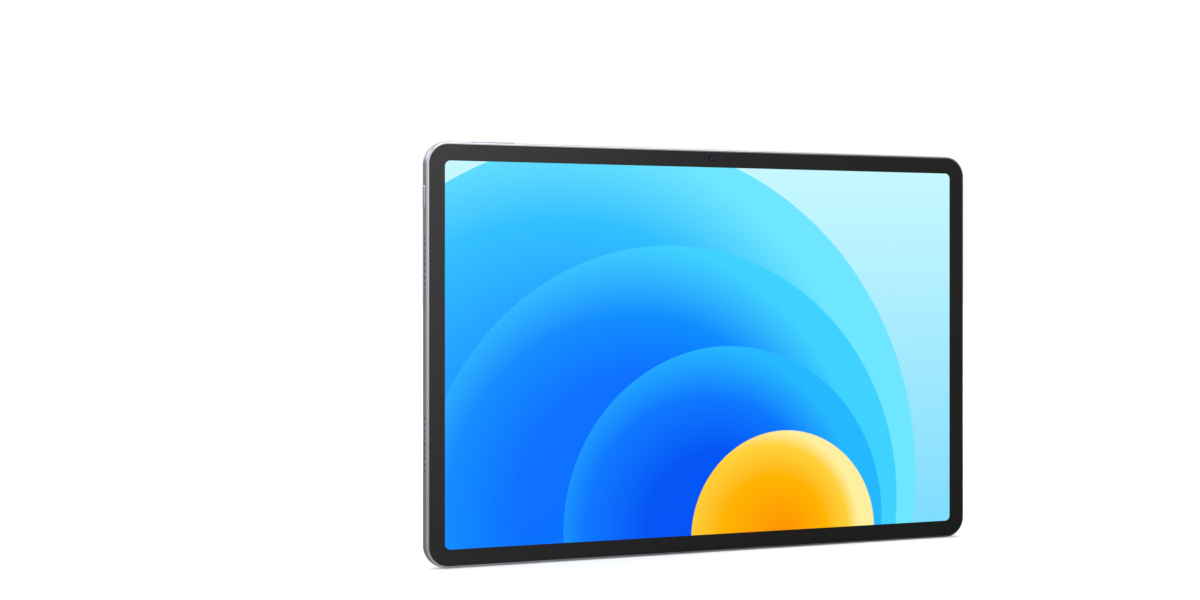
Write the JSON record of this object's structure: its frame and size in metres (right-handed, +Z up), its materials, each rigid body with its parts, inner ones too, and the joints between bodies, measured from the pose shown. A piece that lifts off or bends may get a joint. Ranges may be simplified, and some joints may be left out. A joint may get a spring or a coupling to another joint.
{
  "type": "tablet computer",
  "caption": "Thin aluminium tablet computer with a lit landscape screen, raised rear camera plate, two keys, slotted speakers and a USB-C socket.",
  "frame": {"origin": "at the middle of the lower long edge, where a stand or hand holds it, at mid thickness of the body", "axes": "+X along the long side, to the right when facing the screen; -Y out of the screen; +Z up along the short side"},
  "size_m": [0.2612, 0.0081, 0.1773],
  "materials": {
    "anodised_shell": "bead-blasted and anodised lavender grey, satin",
    "key_metal": "anodised, fine satin with cut edges",
    "cover_glass": "polished cover glass with a black printed border over a lit picture area",
    "black_foam": "black adhesive foam",
    "sensor_film": "clear laminated film",
    "lcd_glass": "display panel",
    "clear_film": "moulded light guide with films",
    "led_strip": "light strip on a narrow board",
    "sheet_steel": "stamped sheet, plain",
    "screw_steel": "machine screws",
    "flex_circuit": "polyimide flexible circuit",
    "camera_plate": "fine blasted and anodised, polished edge",
    "polished_ring": "turned and polished",
    "lens_glass": "black masked lens window with a coated lens",
    "black_plastic": "moulded black plastic",
    "chip_black": "moulded chip package",
    "circuit_board": "green solder mask",
    "graphite": "graphite heat spreading sheet",
    "battery_pouch": "black wrapped pouch cell",
    "speaker_mesh": "fine black woven wire mesh"
  },
  "bodies": {
    "housing": {"battery_cell_left": "battery_pouch", "battery_cell_right": "battery_pouch", "battery_flex": "flex_circuit", "battery_protection_board": "circuit_board", "board_link_flex": "flex_circuit", "board_screw_1": "screw_steel", "board_screw_2": "screw_steel", "board_screw_3": "screw_steel", "board_screw_4": "screw_steel", "board_shield": "sheet_steel", "camera_screw_1": "screw_steel", "camera_screw_2": "screw_steel", "cover_glass": "cover_glass", "display_adhesive": "black_foam", "display_flex": "flex_circuit", "display_tray": "sheet_steel", "front_camera_holder": "sheet_steel", "front_camera_module": "black_plastic", "graphite_sheet": "graphite", "lcd_panel": "lcd_glass", "led_strip": "led_strip", "light_guide": "clear_film", "light_sensor": "chip_black", "main_board": "circuit_board", "microphone_side": "sheet_steel", "microphone_top": "sheet_steel", "power_chip": "chip_black", "power_key_bracket": "sheet_steel", "power_switch": "sheet_steel", "processor": "chip_black", "rear_camera_bracket": "sheet_steel", "rear_camera_gasket": "black_foam", "rear_camera_module": "black_plastic", "rear_camera_plate": "camera_plate", "rear_cover": "anodised_shell", "rear_lens_ring": "polished_ring", "rear_lens_window": "lens_glass", "speaker_lower_left": "black_plastic", "speaker_lower_right": "black_plastic", "speaker_mesh_lower_left": "speaker_mesh", "speaker_mesh_lower_right": "speaker_mesh", "speaker_mesh_upper_left": "speaker_mesh", "speaker_mesh_upper_right": "speaker_mesh", "speaker_upper_left": "black_plastic", "speaker_upper_right": "black_plastic", "storage_chip": "chip_black", "touch_sensor": "sensor_film", "usb_board": "circuit_board", "usb_bracket": "sheet_steel", "usb_c_contact_block": "black_plastic", "usb_c_shell": "sheet_steel", "usb_screw_1": "screw_steel", "usb_screw_2": "screw_steel", "volume_down_switch": "sheet_steel", "volume_key_bracket": "sheet_steel", "volume_up_switch": "sheet_steel", "wifi_antenna_left": "flex_circuit", "wifi_antenna_right": "flex_circuit"},
    "power_button": {"power_key": "key_metal"},
    "volume_rocker": {"volume_key": "key_metal"}
  },
  "joints": [
    {"name": "power_press", "type": "slide", "parent": "housing", "child": "power_button", "axis": [1, 0, 0], "range_m": [0, 0.0003], "stiffness_N_per_m": 2000},
    {"name": "volume_rock", "type": "hinge", "parent": "housing", "child": "volume_rocker", "pos_m": [-0.1009, 0, 0.17401], "axis": [0, 1, 0], "range_deg": [-1.4, 1.4], "stiffness_Nm_per_rad": 0.3}
  ]
}
